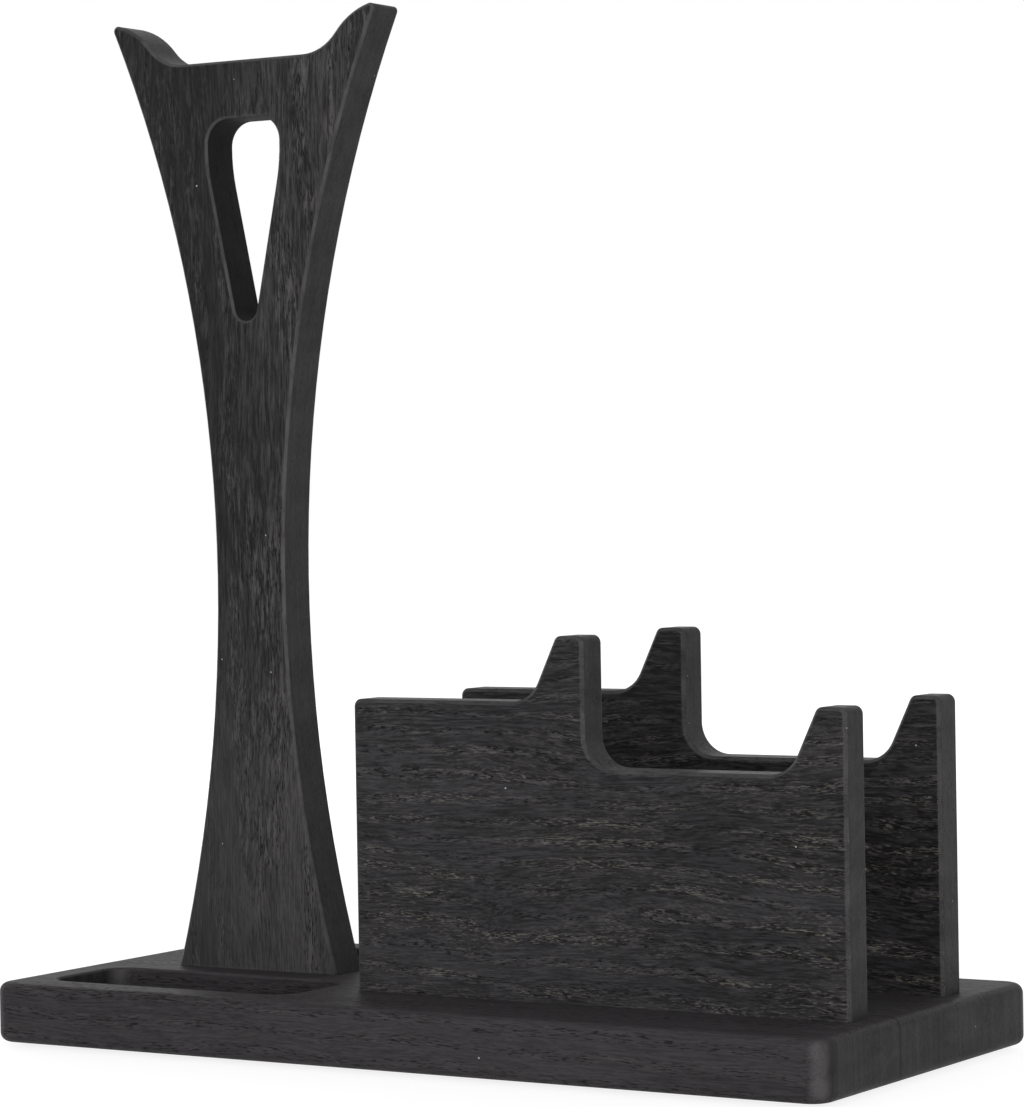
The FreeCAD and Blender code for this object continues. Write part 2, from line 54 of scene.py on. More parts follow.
class NodeNet:
    """A node tree with short calls to add and join its nodes."""

    def __init__(self, tree: bpy.types.NodeTree) -> None:
        """Empty the tree and keep it."""
        self.tree = tree
        tree.nodes.clear()

    def fill(self, socket: Socket, value: Any) -> None:
        """Feed an input socket.

        Args:
            socket: The socket to feed.
            value: An output socket to link to it, or a plain value to set on it.
        """
        if isinstance(value, Socket):
            self.tree.links.new(value, socket)
        else:
            socket.default_value = value

    def add(self, kind: str, inputs: dict[Any, Any] | None = None, **settings: Any) -> Node:
        """Add one node.

        Args:
            kind: The node's type, without its leading "ShaderNode".
            inputs: What goes into its sockets by name or number: an output socket or a plain value.
            settings: The node's own properties.

        Returns:
            The new node.
        """
        node = self.tree.nodes.new(f"ShaderNode{kind}")
        for name, value in settings.items():
            setattr(node, name, value)
        for key, value in (inputs or {}).items():
            self.fill(node.inputs[key], value)
        return node

    def maths(self, operation: str, *values: Any, clamp: bool = False) -> Socket:
        """Join values by one operation.

        Args:
            operation: The operation of a Math node.
            values: Its one to three inputs.
            clamp: Whether the result is kept from 0 to 1.

        Returns:
            The result's socket.
        """
        inputs = dict(enumerate(values))
        return self.add("Math", inputs, operation=operation, use_clamp=clamp).outputs[0]

    def vectors(self, operation: str, *values: Any, scale: Any = None) -> Node:
        """Join vectors by one operation.

        Args:
            operation: The operation of a Vector Math node.
            values: Its vector inputs.
            scale: The factor, for the operation that has one.

        Returns:
            The node, because its result may be a vector or a value.
        """
        inputs: dict[Any, Any] = dict(enumerate(values))
        if scale is not None:
            inputs["Scale"] = scale
        return self.add("VectorMath", inputs, operation=operation)

    def parts(self, vector: Socket) -> Any:
        """Split a vector into its X, Y and Z outputs."""
        return self.add("SeparateXYZ", {"Vector": vector}).outputs

    def in_millimetres(self, place: Socket) -> Socket:
        """Turn coordinates in metres into millimetres."""
        return self.vectors("SCALE", place, scale=1.0 / MM).outputs["Vector"]

    def between(self, value: Any, low: float, high: float, start: Any = 0.0, end: Any = 1.0) -> Socket:
        """Map a value smoothly from one span to another.

        Args:
            value: The value to map.
            low: Where its span begins.
            high: Where its span ends.
            start: What low becomes.
            end: What high becomes.

        Returns:
            The mapped value's socket.
        """
        inputs = {"Value": value, "From Min": low, "From Max": high, "To Min": start, "To Max": end}
        return self.add("MapRange", inputs, interpolation_type="SMOOTHSTEP").outputs["Result"]

    def blend(self, share: Any, first: Any, second: Any) -> Socket:
        """Mix two colours.

        Args:
            share: The share of the second colour.
            first: The colour at a share of 0.
            second: The colour at a share of 1.

        Returns:
            The mixed colour's socket.
        """
        node = self.add("Mix", data_type="RGBA")
        sockets = {socket.identifier: socket for socket in node.inputs}
        self.fill(sockets["Factor_Float"], share)
        for label, colour in (("A_Color", first), ("B_Color", second)):
            self.fill(sockets[label], (*colour, 1.0) if isinstance(colour, tuple) else colour)
        return next(socket for socket in node.outputs if socket.identifier == "Result_Color")


@dataclass(frozen=True)
class Layer:
    """One layer of noise.

    The stretch says how many features a millimetre holds along each axis, the detail how many finer
    layers it has and the roughness how strong those are. What lies between low and high is spread
    over 0 to 1.
    """

    stretch: Triple
    detail: float = 2.0
    roughness: float = 0.5
    low: float = 0.3
    high: float = 0.7

    def noise(self, net: NodeNet, place: Socket) -> Node:
        """Add the plain noise.

        Args:
            net: The nodes to add it to.
            place: The coordinates, in millimetres.

        Returns:
            The noise node.
        """
        stretched = net.vectors("MULTIPLY", place, self.stretch).outputs["Vector"]
        inputs = {"Vector": stretched, "Scale": 1.0, "Detail": self.detail, "Roughness": self.roughness}
        return net.add("TexNoise", inputs)

    def spread(self, net: NodeNet, place: Socket, start: float = 0.0) -> Socket:
        """Add the noise, spread over its span.

        Args:
            net: The nodes to add it to.
            place: The coordinates, in millimetres.
            start: The least value it gives.

        Returns:
            The value's socket.
        """
        return net.between(self.noise(net, place).outputs["Fac"], self.low, self.high, start)


def new_material(name: str) -> tuple[bpy.types.Material, NodeNet]:
    """Make a material without nodes.

    Args:
        name: The material's name.

    Returns:
        The material, and the net to add its nodes with.
    """
    made = bpy.data.materials.new(name)
    made.use_nodes = True
    return made, NodeNet(made.node_tree)


class EffectGroup:
    """A shader node group that several finishes share."""

    name = "effect"
    inputs: dict[str, tuple[str, Any]] = {}
    outputs: tuple[str, ...] = ()

    def __init__(self) -> None:
        """Make the group with its sockets, then its nodes."""
        self.tree = bpy.data.node_groups.new(self.name, "ShaderNodeTree")
        interface = self.tree.interface
        for label, (kind, default) in self.inputs.items():
            socket = interface.new_socket(label, in_out="INPUT", socket_type=f"NodeSocket{kind}")
            socket.default_value = default
        for label in self.outputs:
            interface.new_socket(label, in_out="OUTPUT", socket_type="NodeSocketFloat")
        self.net = NodeNet(self.tree)
        source = self.tree.nodes.new("NodeGroupInput")
        self.target = self.tree.nodes.new("NodeGroupOutput")
        self.build(source.outputs)

    def build(self, given: Any) -> None:
        """Add the group's nodes between its inputs and outputs."""
        raise NotImplementedError

    def give(self, label: str, value: Socket) -> None:
        """Join a result to one of the group's outputs."""
        self.tree.links.new(value, self.target.inputs[label])

    def placed(self, net: NodeNet, **values: Any) -> Any:
        """Place the group in a material.

        Args:
            net: The material's nodes.
            values: The group's inputs, with an underscore for each space in a name.

        Returns:
            The outputs of the placed group.
        """
        inputs = {name.replace("_", " "): value for name, value in values.items()}
        return net.add("Group", inputs, node_tree=self.tree).outputs


class OakGrain(EffectGroup):
    """Rings, fibre, open pores and pale flecks of oak, with the fibres along X."""

    name = "oak_grain"
    inputs = {
        "Vector": ("Vector", (0.0, 0.0, 0.0)),
        "Pith": ("Vector", (0.0, 90.0, 20.0)),
        "Ring Spacing": ("Float", 5.0),
        "Sway": ("Float", 6.0),
        "Shortness": ("Float", 1.0),
    }
    outputs = ("Tone", "Streaks", "Pores", "Flecks", "Height")

    noise_middle: Triple = (0.5, 0.5, 0.5)
    sway_ways: Triple = (0.0, 2.0, 2.0)
    ring_ways: Triple = (0.06, 1.0, 1.0)
    ring_span: Span = (-0.35, 0.8)
    streak_ringing = 0.6
    pore_ringing = 0.65
    fleck_ringing = 0.6
    fibre_share = 0.65
    fibre_height = 0.5
    drift = Layer((0.012, 0.03, 0.03), 1.5)
    clouds = Layer((0.008, 0.05, 0.05))
    fibre = Layer((0.045, 1.6, 1.6), 3.0, 0.65, 0.35, 0.65)
    streaks = Layer((0.05, 0.8, 0.8), 2.0, 0.6, 0.47, 0.66)
    slits = Layer((0.2, 2.6, 2.6), 1.0, 0.5, 0.54, 0.66)
    dashes = Layer((0.19, 3.0, 3.0), 1.0, 0.5, 0.55, 0.67)
    patches = Layer((0.012, 0.16, 0.16), 2.0, 0.5, 0.36, 0.62)

    def build(self, given: Any) -> None:
        """Add the nodes; all lengths in them are millimetres.

        Args:
            given: The outputs of the group's input node.
        """
        net = self.net
        bent = self.bend(given)
        rings = self.rings(given, bent)
        broad = self.clouds.spread(net, bent)
        lengths = net.add("CombineXYZ", {"X": given["Shortness"], "Y": 1.0, "Z": 1.0}).outputs["Vector"]
        bent = net.vectors("MULTIPLY", bent, lengths).outputs["Vector"]
        fibre = self.fibre.noise(net, bent).outputs["Fac"]
        threads = net.between(fibre, self.fibre.low, self.fibre.high)
        rest = net.maths("MULTIPLY", broad, 1.0 - self.fibre_share)
        self.give("Tone", net.maths("MULTIPLY_ADD", threads, self.fibre_share, rest, clamp=True))
        streaks = self.streaks.spread(net, bent)
        self.give("Streaks", self.ringed(streaks, rings, self.streak_ringing))
        pores = self.ringed(self.slits.spread(net, bent), rings, self.pore_ringing)
        self.give("Pores", pores)
        flecks = self.ringed(self.dashes.spread(net, bent), rings, self.fleck_ringing)
        self.give("Flecks", net.maths("MULTIPLY", flecks, self.patches.spread(net, bent), clamp=True))
        raised = net.maths("MULTIPLY", fibre, self.fibre_height)
        self.give("Height", net.maths("SUBTRACT", raised, pores))

    def bend(self, given: Any) -> Socket:
        """Let the fibres sway.

        Args:
            given: The outputs of the group's input node.

        Returns:
            The bent coordinates, in millimetres.
        """
        net = self.net
        place = net.in_millimetres(given["Vector"])
        drift = self.drift.noise(net, place).outputs["Color"]
        centred = net.vectors("SUBTRACT", drift, self.noise_middle).outputs["Vector"]
        swayed = net.vectors("SCALE", centred, scale=given["Sway"]).outputs["Vector"]
        return net.vectors("MULTIPLY_ADD", swayed, self.sway_ways, place).outputs["Vector"]

    def rings(self, given: Any, bent: Socket) -> Socket:
        """Draw the year's rings round the pith.

        Args:
            given: The outputs of the group's input node.
            bent: The bent coordinates, in millimetres.

        Returns:
            1 in the open wood of each ring and 0 in the dense wood.
        """
        net = self.net
        away = net.vectors("SUBTRACT", bent, given["Pith"]).outputs["Vector"]
        across = net.vectors("MULTIPLY", away, self.ring_ways).outputs["Vector"]
        distance = net.vectors("LENGTH", across).outputs["Value"]
        turns = net.maths("DIVIDE", distance, given["Ring Spacing"])
        wave = net.maths("SINE", net.maths("MULTIPLY", turns, math.tau))
        return net.between(wave, *self.ring_span)

    def ringed(self, value: Socket, rings: Socket, share: float) -> Socket:
        """Weaken a value by a share of it in the dense wood of the rings."""
        weight = self.net.maths("MULTIPLY_ADD", rings, share, 1.0 - share)
        return self.net.maths("MULTIPLY", value, weight, clamp=True)


class EndGrain(EffectGroup):
    """The sawn side of a board: soft clouds and grit under faint upright sanding lines."""

    name = "end_grain"
    inputs = {"Vector": ("Vector", (0.0, 0.0, 0.0))}
    outputs = ("Tone",)

    weighted = (
        (0.3, Layer((0.4, 0.4, 0.02), 4.0, 0.6, 0.32, 0.68)),
        (0.4, Layer((0.05, 0.05, 0.08), 3.0, 0.6, 0.32, 0.68)),
        (0.3, Layer((1.5, 1.5, 0.5), 2.0, 0.6, 0.32, 0.68)),
    )

    def build(self, given: Any) -> None:
        """Add the nodes; all lengths in them are millimetres.

        Args:
            given: The outputs of the group's input node.
        """
        place = self.net.in_millimetres(given["Vector"])
        tone: Any = 0.0
        for weight, layer in self.weighted:
            tone = self.net.maths("MULTIPLY_ADD", layer.spread(self.net, place), weight, tone)
        self.give("Tone", tone)


class Specks(EffectGroup):
    """Small pale specks of dust, scattered and of several sizes."""

    name = "dust_specks"
    inputs = {
        "Vector": ("Vector", (0.0, 0.0, 0.0)),
        "Spacing": ("Float", 9.0),
        "Radius": ("Float", 0.3),
    }
    outputs = ("Mask",)

    rarity = 0.6

    def build(self, given: Any) -> None:
        """Add the nodes; all lengths in them are millimetres.

        Args:
            given: The outputs of the group's input node.
        """
        net = self.net
        density = net.maths("DIVIDE", 1.0, given["Spacing"])
        place = net.in_millimetres(given["Vector"])
        scaled = net.vectors("SCALE", place, scale=density).outputs["Vector"]
        cells = net.add("TexVoronoi", {"Vector": scaled, "Scale": 1.0}).outputs
        luck = net.add("SeparateColor", {"Color": cells["Color"]}).outputs["Red"]
        size = net.maths("MULTIPLY", net.maths("MULTIPLY", given["Radius"], density), luck)
        near = net.maths("LESS_THAN", cells["Distance"], size)
        self.give("Mask", net.maths("MULTIPLY", near, net.maths("GREATER_THAN", luck, self.rarity)))


class EasedEdges(EffectGroup):
    """Where an edge is paler from rubbing and from a painted highlight: at a turn of the surface within
    a small radius and on slanted faces.

    The ways say how much it shows where a face looks half along X and half along Y, half along Y and
    half along Z, and half along Z and half along X.
    """

    name = "eased_edges"
    inputs = {
        "Vector": ("Vector", (0.0, 0.0, 0.0)),
        "Radius": ("Float", 1.2),
        "Ways": ("Vector", (0.0, 0.0, 0.0)),
    }
    outputs = ("Mask",)

    turn_span: Span = (0.99, 0.86)
    slant_span: Span = (0.05, 0.25)
    breaks = Layer((0.11, 0.11, 0.11), 3.0, 0.65)
    least = 0.35

    def build(self, given: Any) -> None:
        """Add the nodes.

        Args:
            given: The outputs of the group's input node.
        """
        net = self.net
        radius = net.maths("MULTIPLY", given["Radius"], MM)
        rounded = net.add("Bevel", {"Radius": radius}, samples=BEVEL_SAMPLES).outputs["Normal"]
        face = net.add("NewGeometry").outputs
        alike = net.vectors("DOT_PRODUCT", rounded, face["True Normal"]).outputs["Value"]
        turned = net.between(alike, *self.turn_span)
        squares = net.vectors("MULTIPLY", face["Normal"], face["Normal"]).outputs["Vector"]
        parts = net.parts(squares)
        moved = net.add("CombineXYZ", {"X": parts["Y"], "Y": parts["Z"], "Z": parts["X"]})
        pairs = net.vectors("MULTIPLY", squares, moved.outputs["Vector"]).outputs["Vector"]
        # The slanted faces carry a painted highlight, such as on the base board's rounded upright
        # corners.
        slant = net.vectors("DOT_PRODUCT", pairs, given["Ways"]).outputs["Value"]
        rub_and_highlight_mask = net.maths("MAXIMUM", turned, net.between(slant, *self.slant_span))
        broken = self.breaks.spread(net, net.in_millimetres(given["Vector"]), self.least)
        self.give("Mask", net.maths("MULTIPLY", rub_and_highlight_mask, broken, clamp=True))


@dataclass(frozen=True)
class Effects:
    """The shared effect groups, built once."""

    grain: OakGrain
    ends: EndGrain
    specks: Specks
    edges: EasedEdges


@dataclass(frozen=True)
class Ramp:
    """A value that changes smoothly along one axis, with its span in millimetres."""

    axis: str
    low: float
    high: float
    start: float
    end: float

    def value(self, net: NodeNet, place: Socket) -> Socket:
        """Add the ramp's nodes to a material and give its value."""
        along = net.parts(place)[self.axis]
        return net.between(along, self.low * MM, self.high * MM, self.start, self.end)


@dataclass(frozen=True)
class StainedOak:
    """Oak under a charcoal stain and a satin oil; its lengths are millimetres.

    The cut ways tell which faces are sawn smooth, by their direction. The streak ramp says how
    strongly the grain shows along the board. The staves and seams are for a board that is glued up;
    a single board has none. The hollow is a box round a hole, whose walls are darkened as painted shade.
    """

    name: str
    grain: Grain
    pith: Triple
    ring_spacing: float
    sway: float
    shortness: float = 1.0
    dark: Colour = (0.0092, 0.0086, 0.0088)
    light: Colour = (0.06, 0.057, 0.058)
    streak: Colour = (0.105, 0.099, 0.103)
    pore: Colour = (0.0032, 0.003, 0.0032)
    fleck: Colour = (0.22, 0.206, 0.172)
    # Pale edge colour, for rubbing and for a painted highlight on edges and rounded corners.
    rub_and_highlight: Colour = (0.12, 0.115, 0.117)
    end_dark: Colour = (0.0145, 0.0137, 0.0139)
    end_light: Colour = (0.042, 0.0396, 0.0403)
    dust: Colour = (0.6, 0.59, 0.57)
    streak_strength: float = 0.35
    pore_depth: float = 0.85
    fleck_strength: float = 0.58
    rub_and_highlight_strength: float = 0.45
    rub_and_highlight_ways: Triple = (1.0, 1.0, 0.0)
    cut_ways: Triple = (1.0, 0.0, 0.0)
    roughness: float = 0.5
    specular: float = 0.08
    tone_ramps: tuple[Ramp, ...] = ()
    fleck_ramp: Ramp | None = None
    streak_ramp: Ramp | None = None
    hollow: tuple[Triple, Triple] | None = None
    seams: tuple[float, ...] = ()
    seam_depths: tuple[float, ...] = ()
    seam_start: float = 140.0
    stave_tones: tuple[float, ...] = ()

    middle_tone: ClassVar[float] = 0.5
    cut_span: ClassVar[Span] = (0.6, 0.98)
    wall_span: ClassVar[Span] = (0.8, 0.5)
    wall_shade: ClassVar[float] = 0.72
    wall_roughness: ClassVar[float] = 0.25
    pore_roughness: ClassVar[float] = 0.25
    tone_roughness: ClassVar[float] = -0.1
    dust_strength: ClassVar[float] = 0.7
    seam_span: ClassVar[Span] = (0.75, 0.25)
    seam_fade: ClassVar[float] = 6.0
    edge_radius: ClassVar[float] = 0.7
    bump_strength: ClassVar[float] = 0.35
    bump_depth: ClassVar[float] = 0.15

    def material(self, effects: Effects) -> bpy.types.Material:
        """Make the material.

        Args:
            effects: The shared effect groups.

        Returns:
            The finished material.
        """
        made, net = new_material(self.name)
        place = net.add("TexCoord").outputs["Object"]
        turned = net.add("Mapping", {"Vector": place, "Rotation": self.grain.turn}).outputs["Vector"]
        grain = effects.grain.placed(net, Vector=turned, Pith=self.pith, Ring_Spacing=self.ring_spacing,
                                     Sway=self.sway, Shortness=self.shortness)
        face = net.add("NewGeometry").outputs["True Normal"]
        colour = self.saw(net, place, face, self.figure(net, place, grain), effects)
        roughness = net.maths("MULTIPLY_ADD", grain["Pores"], self.pore_roughness, self.roughness)
        roughness = net.maths("MULTIPLY_ADD", grain["Tone"], self.tone_roughness, roughness)
        # Painted shade: the hole's walls are darkened with the pore colour, and made rougher.
        if self.hollow:
            walls = self.hollow_walls(net, place, face)
            colour = self.overlay(net, place, colour, walls, self.wall_shade, self.pore)
            roughness = net.maths("MULTIPLY_ADD", walls, self.wall_roughness, roughness, clamp=True)
        # Paler edges and rounded corners: rubbing, and a painted highlight.
        rub_and_highlight_mask = effects.edges.placed(net, Vector=place, Ways=self.rub_and_highlight_ways)["Mask"]
        colour = self.overlay(net, place, colour, rub_and_highlight_mask, self.rub_and_highlight_strength, self.rub_and_highlight)
        for seam, depth in zip(self.seams, self.seam_depths):
            colour = self.overlay(net, place, colour, self.seam_line(net, place, seam), depth, self.pore)
        specks = effects.specks.placed(net, Vector=place)["Mask"]
        colour = self.overlay(net, place, colour, specks, self.dust_strength, self.dust)
        rounded = net.add("Bevel", {"Radius": self.edge_radius * MM}, samples=BEVEL_SAMPLES)
        bump = net.add("Bump", {"Strength": self.bump_strength, "Distance": self.bump_depth * MM,
                                "Height": grain["Height"], "Normal": rounded.outputs["Normal"]})
        shader = net.add("BsdfPrincipled", {"Base Color": colour, "Roughness": roughness,
                                            "Normal": bump.outputs["Normal"],
                                            "Specular IOR Level": self.specular})
        net.add("OutputMaterial", {"Surface": shader.outputs["BSDF"]})
        return made

    def figure(self, net: NodeNet, place: Socket, grain: Any) -> Socket:
        """Colour the planed faces by their grain.

        Args:
            net: The material's nodes.
            place: The surface's coordinates.
            grain: The outputs of the placed grain.

        Returns:
            The colour's socket.
        """
        tone = grain["Tone"]
        if self.streak_ramp:
            off = net.maths("SUBTRACT", tone, self.middle_tone)
            tone = net.maths("MULTIPLY_ADD", off, self.streak_ramp.value(net, place), self.middle_tone)
        if self.stave_tones:
            tone = net.maths("ADD", tone, self.stave_shift(net, place), clamp=True)
        for ramp in self.tone_ramps:
            tone = net.maths("ADD", tone, ramp.value(net, place), clamp=True)
        colour = net.blend(tone, self.dark, self.light)
        for label, strength, laid, ramp in (
            ("Streaks", self.streak_strength, self.streak, self.streak_ramp),
            ("Pores", self.pore_depth, self.pore, self.streak_ramp),
            ("Flecks", self.fleck_strength, self.fleck, self.fleck_ramp),
        ):
            colour = self.overlay(net, place, colour, grain[label], strength, laid, ramp)
        return colour

    def saw(self, net: NodeNet, place: Socket, face: Socket, planed: Socket, effects: Effects) -> Socket:
        """Lay the colour of sawn wood over the faces that look along the cut ways.

        Args:
            net: The material's nodes.
            place: The surface's coordinates.
            face: The surface's normal.
            planed: The colour of the planed faces.
            effects: The shared effect groups.

        Returns:
            The joined colour's socket.
        """
        ways = net.vectors("ABSOLUTE", face).outputs["Vector"]
        along = net.vectors("DOT_PRODUCT", ways, self.cut_ways).outputs["Value"]
        sawn = net.blend(effects.ends.placed(net, Vector=place)["Tone"], self.end_dark, self.end_light)
        return net.blend(net.between(along, *self.cut_span), planed, sawn)

    def overlay(self, net: NodeNet, place: Socket, under: Socket, mask: Socket, strength: float,
                colour: Colour, ramp: Ramp | None = None) -> Socket:
        """Lay a colour over another where a mask shows it.

        Args:
            net: The material's nodes.
            place: The surface's coordinates.
            under: The colour below.
            mask: Where the new colour shows.
            strength: How much of it shows there.
            colour: The new colour.
            ramp: How the strength changes along the board, if it does.

        Returns:
            The joined colour's socket.
        """
        share = net.maths("MULTIPLY", mask, strength)
        if ramp:
            share = net.maths("MULTIPLY", share, ramp.value(net, place))
        return net.blend(share, under, colour)

    def hollow_walls(self, net: NodeNet, place: Socket, face: Socket) -> Socket:
        """Find the walls of the hole.

        Args:
            net: The material's nodes.
            place: The surface's coordinates.
            face: The surface's normal.

        Returns:
            The mask of the faces inside the hollow's box that look along neither side of the board,
            which gets painted shade.
        """
        low, high = (Vector(corner) * MM for corner in self.hollow)
        off = net.vectors("SUBTRACT", place, tuple((low + high) / 2)).outputs["Vector"]
        off = net.vectors("ABSOLUTE", off).outputs["Vector"]
        share = net.parts(net.vectors("DIVIDE", off, tuple((high - low) / 2)).outputs["Vector"])
        inside = net.maths("LESS_THAN", net.maths("MAXIMUM", share["X"], share["Z"]), 1.0)
        shade_to_right = net.maths("ABSOLUTE", net.parts(face)["Y"])
        return net.maths("MULTIPLY", inside, net.between(shade_to_right, *self.wall_span))

    def stave_shift(self, net: NodeNet, place: Socket) -> Socket:
        """Give each stave of a glued board its own tone.

        Args:
            net: The material's nodes.
            place: The surface's coordinates.

        Returns:
            What is added to the tone, stave by stave from front to back.
        """
        depth = net.parts(place)["Y"]
        shift: Any = self.stave_tones[0]
        for seam, below, above in zip(self.seams, self.stave_tones, self.stave_tones[1:]):
            beyond = net.maths("GREATER_THAN", depth, seam * MM)
            shift = net.maths("MULTIPLY_ADD", beyond, above - below, shift)
        return shift

    def seam_line(self, net: NodeNet, place: Socket, seam: float) -> Socket:
        """Draw one glue line, which shows on the two ends of the board only.

        Args:
            net: The material's nodes.
            place: The surface's coordinates.
            seam: The line's place across the board.

        Returns:
            The line's mask.
        """
        parts = net.parts(place)
        off = net.maths("ABSOLUTE", net.maths("SUBTRACT", parts["Y"], seam * MM))
        line = net.between(off, *(edge * MM for edge in self.seam_span))
        along = net.maths("ABSOLUTE", parts["X"])
        ends = net.between(along, self.seam_start * MM, (self.seam_start + self.seam_fade) * MM)
        return net.maths("MULTIPLY", line, ends)


@dataclass(frozen=True)
class PlatedSteel:
    """Zinc-plated steel with fine turning marks."""

    name: str = "plated_steel"
    dull: Colour = (0.42, 0.42, 0.43)
    bright: Colour = (0.62, 0.62, 0.61)
    clouds: Layer = Layer((0.8, 0.8, 0.8), 4.0, 0.6)
    marks: Layer = Layer((0.5, 0.5, 9.0))
    edge_radius: float = 0.4
    rub_and_highlight_strength: float = 0.4
    least_roughness: float = 0.22
    cloud_roughness: float = 0.25
    bump_strength: float = 0.15
    bump_depth: float = 0.05

    def material(self, effects: Effects) -> bpy.types.Material:
        """Make the material.

        Args:
            effects: The shared effect groups.

        Returns:
            The finished material.
        """
        made, net = new_material(self.name)
        place = net.add("TexCoord").outputs["Object"]
        scaled = net.in_millimetres(place)
        cloud = self.clouds.noise(net, scaled).outputs["Fac"]
        rub_and_highlight = effects.edges.placed(net, Vector=place, Radius=self.edge_radius)["Mask"]
        share = net.maths("MULTIPLY_ADD", rub_and_highlight, self.rub_and_highlight_strength, cloud, clamp=True)
        roughness = net.maths("MULTIPLY_ADD", cloud, self.cloud_roughness, self.least_roughness)
        bump = net.add("Bump", {"Strength": self.bump_strength, "Distance": self.bump_depth * MM,
                                "Height": self.marks.noise(net, scaled).outputs["Fac"]})
        shader = net.add("BsdfPrincipled", {"Base Color": net.blend(share, self.dull, self.bright),
                                            "Metallic": 1.0, "Roughness": roughness,
                                            "Normal": bump.outputs["Normal"]})
        net.add("OutputMaterial", {"Surface": shader.outputs["BSDF"]})
        return made


@dataclass(frozen=True)
class PressedFelt:
    """Dense charcoal felt."""

    name: str = "pressed_felt"
    dark: Colour = (0.012, 0.012, 0.0125)
    light: Colour = (0.05, 0.05, 0.052)
    lint: Colour = (0.35, 0.35, 0.34)
    fibres: Layer = Layer((2.2, 2.2, 4.0), 4.0, 0.7, 0.3, 0.75)
    lint_spacing: float = 4.0
    lint_radius: float = 0.2
    lint_strength: float = 0.5
    roughness: float = 0.95
    sheen: float = 0.3
    sheen_roughness: float = 0.5
    bump_strength: float = 0.7
    bump_depth: float = 0.3

    def material(self, effects: Effects) -> bpy.types.Material:
        """Make the material.

        Args:
            effects: The shared effect groups.

        Returns:
            The finished material.
        """
        made, net = new_material(self.name)
        place = net.add("TexCoord").outputs["Object"]
        fibres = self.fibres.noise(net, net.in_millimetres(place)).outputs["Fac"]
        colour = net.blend(net.between(fibres, self.fibres.low, self.fibres.high), self.dark, self.light)
        specks = effects.specks.placed(net, Vector=place, Spacing=self.lint_spacing,
                                       Radius=self.lint_radius)["Mask"]
        colour = net.blend(net.maths("MULTIPLY", specks, self.lint_strength), colour, self.lint)
        bump = net.add("Bump", {"Strength": self.bump_strength, "Distance": self.bump_depth * MM,
                                "Height": fibres})
        shader = net.add("BsdfPrincipled", {"Base Color": colour, "Roughness": self.roughness,
                                            "Normal": bump.outputs["Normal"], "Sheen Weight": self.sheen,
                                            "Sheen Roughness": self.sheen_roughness})
        net.add("OutputMaterial", {"Surface": shader.outputs["BSDF"]})
        return made


class Finished:
    """A sub-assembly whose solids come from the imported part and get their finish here."""

    def dress(self, effects: Effects) -> None:
        """Put the finishes on the sub-assembly's pieces."""
        raise NotImplementedError

    def put_on(self, material: bpy.types.Material, *nodes: str) -> None:
        """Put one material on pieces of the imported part.

        Args:
            material: The finish.
            nodes: The pieces' names.
        """
        for node in nodes:
            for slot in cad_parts[node].material_slots:
                slot.material = material
            LOG.info("%s is finished in %s", node, material.name)


@dataclass
class BaseBoard(Finished):
    """The board that carries the rest, glued up from three staves; its lengths are millimetres."""

    pith: Triple = (-400.0, -30.0, -140.0)
    ring_spacing: float = 6.5
    sway: float = 5.0
    seams: tuple[float, ...] = (-22.0, 17.0)
    seam_depths: tuple[float, ...] = (0.8, 0.15)
    stave_tones: tuple[float, ...] = (0.0, -0.06, 0.05)

    def dress(self, effects: Effects) -> None:
        """Finish the board, its staves and its glue lines.

        Args:
            effects: The shared effect groups.
        """
        oak = StainedOak(
            "base_oak", Grain.ALONG_X, self.pith, self.ring_spacing, self.sway, shortness=1.5,
            dark=(0.0236, 0.0216, 0.0234), light=(0.0485, 0.0448, 0.0481),
            end_dark=(0.0096, 0.0091, 0.0092), end_light=(0.042, 0.0397, 0.0401),
            streak_strength=0.12, pore_depth=0.7, fleck_strength=0.1,
            # The edge colour also paints the highlight on the board's rounded upright corners.
            rub_and_highlight_strength=0.55, rub_and_highlight_ways=(1.0, 0.3, 0.2), roughness=0.57,
            seams=self.seams, seam_depths=self.seam_depths, stave_tones=self.stave_tones,
        )
        self.put_on(oak.material(effects), "base_board")


@dataclass
class HeadsetPost(Finished):
    """The waisted post with its saddle and hole; its lengths are millimetres.

    The tones darken the wood to the left, and paint light low down and shade towards the top; the
    strength weakens its grain to the left.
    """

    pith: Triple = (200.0, 60.0, 85.0)
    ring_spacing: float = 3.2
    sway: float = 4.0
    hole_low: Triple = (-104.8, -9.0, 230.5)
    hole_high: Triple = (-74.2, 9.0, 299.0)
    # The ramp along Z is painted light and shade: paler low down, darker towards the top.
    tones: tuple[Ramp, ...] = (Ramp("X", -112.0, -72.0, -0.2, 0.1), Ramp("Z", 60.0, 170.0, 0.18, -0.3))
    strength: Ramp = Ramp("X", -108.0, -76.0, 0.4, 1.0)

    def dress(self, effects: Effects) -> None:
        """Finish the post with its fibres upright.

        Args:
            effects: The shared effect groups.
        """
        oak = StainedOak(
            "post_oak", Grain.ALONG_Z, self.pith, self.ring_spacing, self.sway, shortness=1.9,
            fleck=(0.2, 0.195, 0.19), streak_strength=0.6, pore_depth=0.82, fleck_strength=0.22,
            # The edge colour also paints a highlight along the post's edges.
            rub_and_highlight_strength=0.65, cut_ways=(1.0, 0.0, 1.0), tone_ramps=self.tones,
            streak_ramp=self.strength, hollow=(self.hole_low, self.hole_high),
        )
        self.put_on(oak.material(effects), "headset_post")


